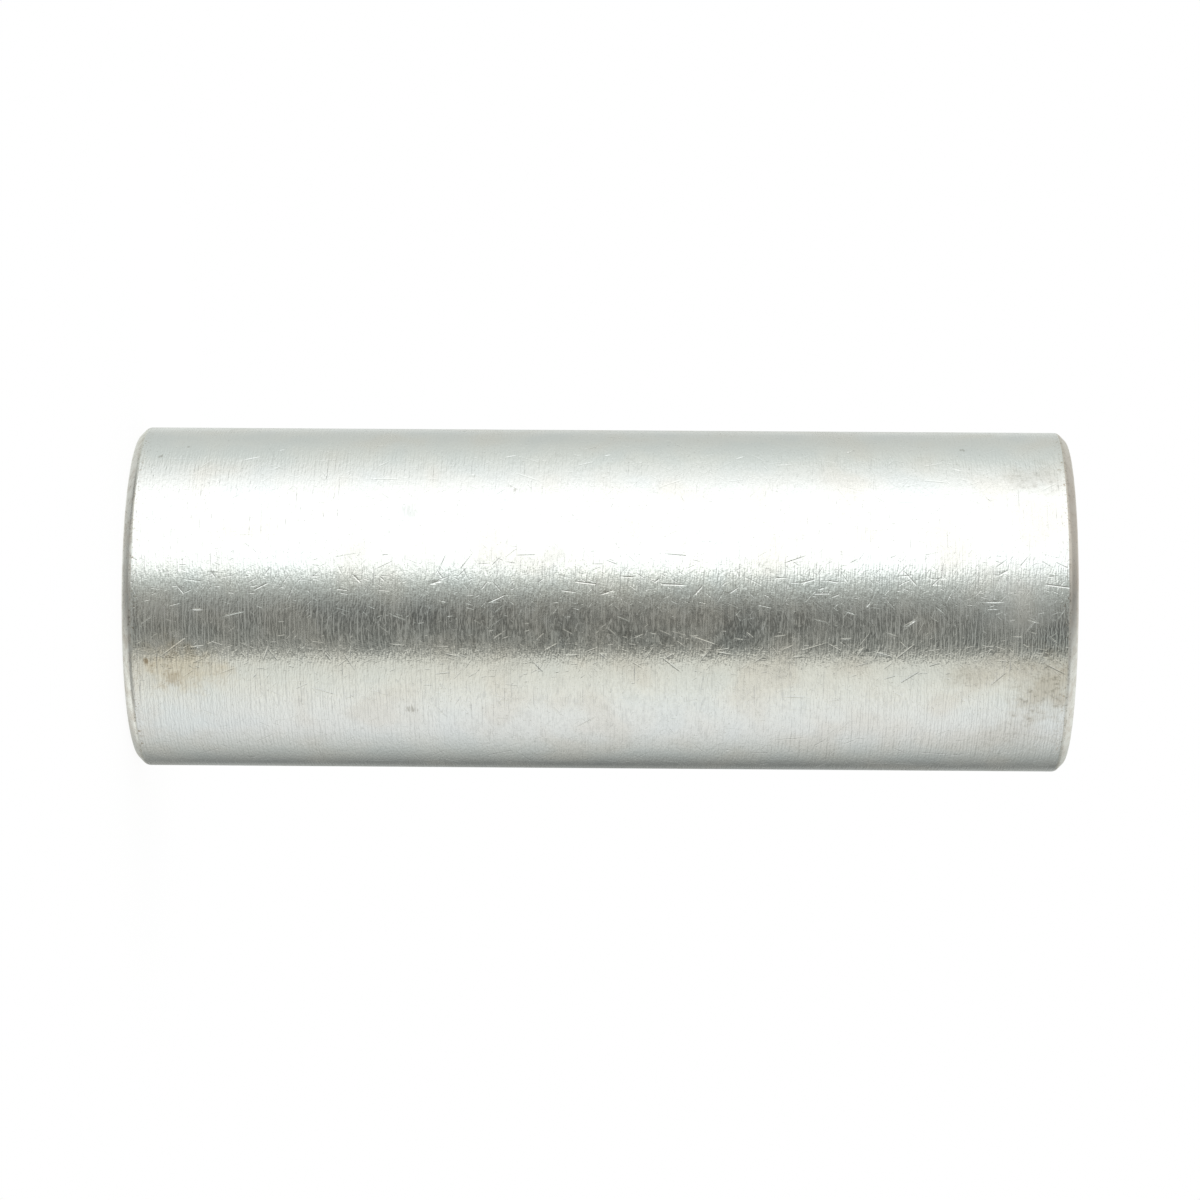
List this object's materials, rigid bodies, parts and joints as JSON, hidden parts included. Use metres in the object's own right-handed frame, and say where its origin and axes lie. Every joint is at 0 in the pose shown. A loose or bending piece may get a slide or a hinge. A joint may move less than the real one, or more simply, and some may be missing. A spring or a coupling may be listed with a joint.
{
  "type": "splined bushing",
  "caption": "Plain cylindrical steel sleeve with chamfered ends and a straight-sided spline bore that slides over a splined shaft to carry or couple it.",
  "frame": {"origin": "centre of the lower end face, on the bore axis", "axes": "+Z along the bore axis, from the end face that the bushing stands on to the other; +X through the middle of a spline groove"},
  "size_m": [0.055, 0.055, 0.15],
  "materials": {
    "zinc_plated_steel": "bright zinc plate over fine turning marks, with handling nicks and light stains"
  },
  "bodies": {
    "root": {"splined_bushing": "zinc_plated_steel"}
  },
  "joints": []
}
